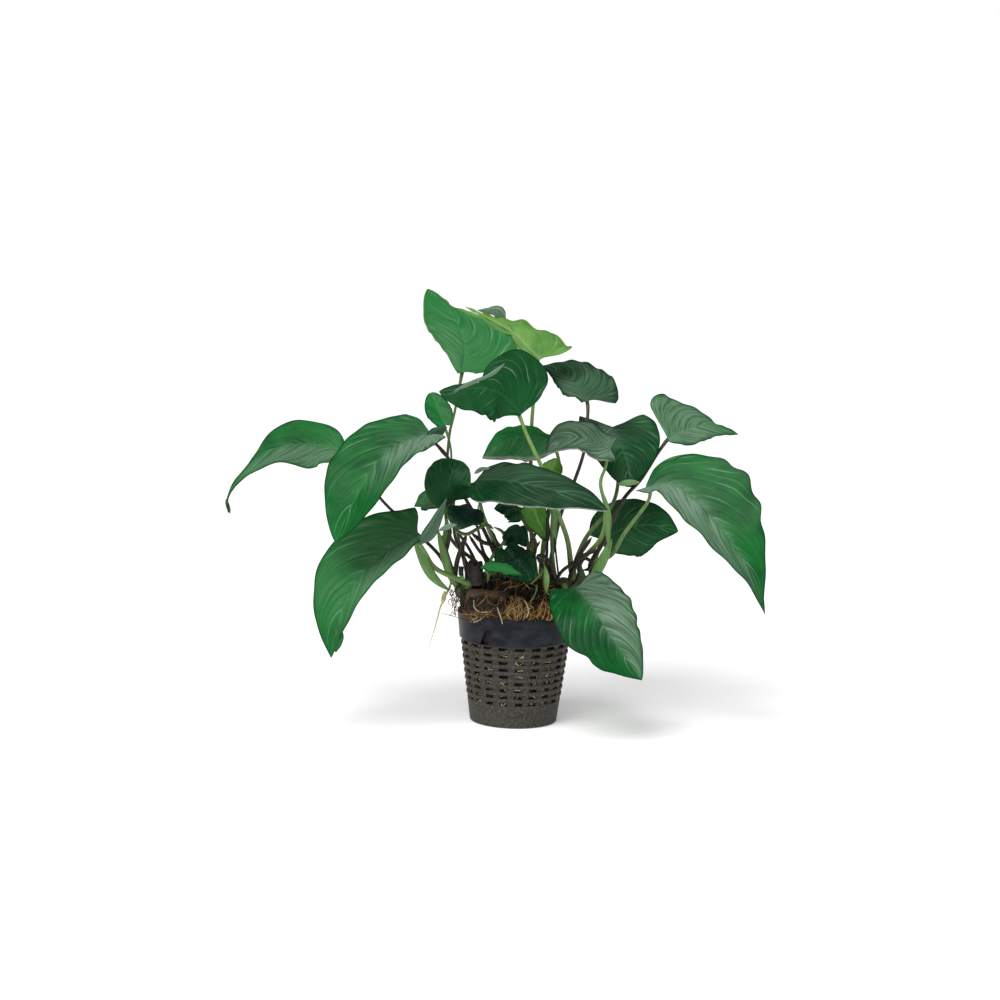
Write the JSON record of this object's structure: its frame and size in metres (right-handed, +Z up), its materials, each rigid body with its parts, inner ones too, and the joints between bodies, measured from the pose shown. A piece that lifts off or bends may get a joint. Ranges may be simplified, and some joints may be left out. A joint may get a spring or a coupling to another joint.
{
  "type": "potted anubias barteri",
  "caption": "Aquarium plant in a black net pot: broad, glossy, arching leaves on slender stalks that rise from a creeping rhizome. Stands on the pot's flat base.",
  "frame": {"origin": "centre of the pot's flat base, where it stands", "axes": "+Z up along the pot's axis, +X to the right of the plant as pictured, along the rhizome and the widest spread of leaves, and -Y towards the viewer"},
  "size_m": [0.238, 0.102, 0.19],
  "materials": {
    "pot_plastic": "charcoal black moulded plastic, semi-gloss",
    "growing_medium": "damp dark fibre with golden strands, matt",
    "rhizome_bark": "ringed green-brown rhizome, matt",
    "dead_rhizome": "dead brown-black rhizome, matt",
    "root": "pale yellow aerial root, satin",
    "leaf_mid": "saturated mid green leaf, glossy above, paler and matt below",
    "leaf_deep": "dark green leaf, glossy above, paler and matt below",
    "leaf_young": "young yellow-green leaf, satin",
    "stalk_green": "light green leaf stalk, satin",
    "stalk_dark": "dark brown leaf stalk, satin"
  },
  "bodies": {
    "root": {"net_pot": "pot_plastic", "growing_medium": "growing_medium", "rhizome": "rhizome_bark", "old_rhizome": "dead_rhizome", "rhizome_stump": "dead_rhizome", "aerial_root": "root", "leaf_far_left": "leaf_mid", "stalk_far_left": "stalk_dark", "leaf_big_left": "leaf_mid", "stalk_big_left": "stalk_dark", "leaf_low_left": "leaf_mid", "stalk_low_left": "stalk_green", "leaf_top": "leaf_mid", "stalk_top": "stalk_green", "leaf_top_back": "leaf_young", "stalk_top_back": "stalk_green", "leaf_upper_mid": "leaf_deep", "stalk_upper_mid": "stalk_green", "leaf_upper_right": "leaf_deep", "stalk_upper_right": "stalk_dark", "leaf_right_point": "leaf_mid", "stalk_right_point": "stalk_dark", "leaf_big_right": "leaf_mid", "stalk_big_right": "stalk_green", "leaf_right_low": "leaf_mid", "stalk_right_low": "stalk_dark", "leaf_pot_front": "leaf_mid", "stalk_pot_front": "stalk_green", "leaf_front_wide": "leaf_deep", "stalk_front_wide": "stalk_green", "leaf_mid_wide": "leaf_deep", "stalk_mid_wide": "stalk_green", "leaf_mid_bright": "leaf_mid", "stalk_mid_bright": "stalk_green", "leaf_heart_right": "leaf_deep", "stalk_heart_right": "stalk_green", "leaf_small_left": "leaf_mid", "stalk_small_left": "stalk_green", "leaf_round_left": "leaf_deep", "stalk_round_left": "stalk_dark", "leaf_behind_left": "leaf_mid", "stalk_behind_left": "stalk_dark", "leaf_dark_hanging": "leaf_deep", "stalk_dark_hanging": "stalk_dark", "leaf_small_mid": "leaf_young", "stalk_small_mid": "stalk_green", "leaf_young_mid": "leaf_young", "stalk_young_mid": "stalk_green", "leaf_on_soil": "leaf_mid", "stalk_on_soil": "stalk_green", "leaf_crinkled_top": "leaf_deep", "stalk_crinkled_top": "stalk_dark", "leaf_crinkled_high": "leaf_deep", "stalk_crinkled_high": "stalk_dark", "leaf_crinkled_low": "leaf_deep", "stalk_crinkled_low": "stalk_dark"}
  },
  "joints": []
}
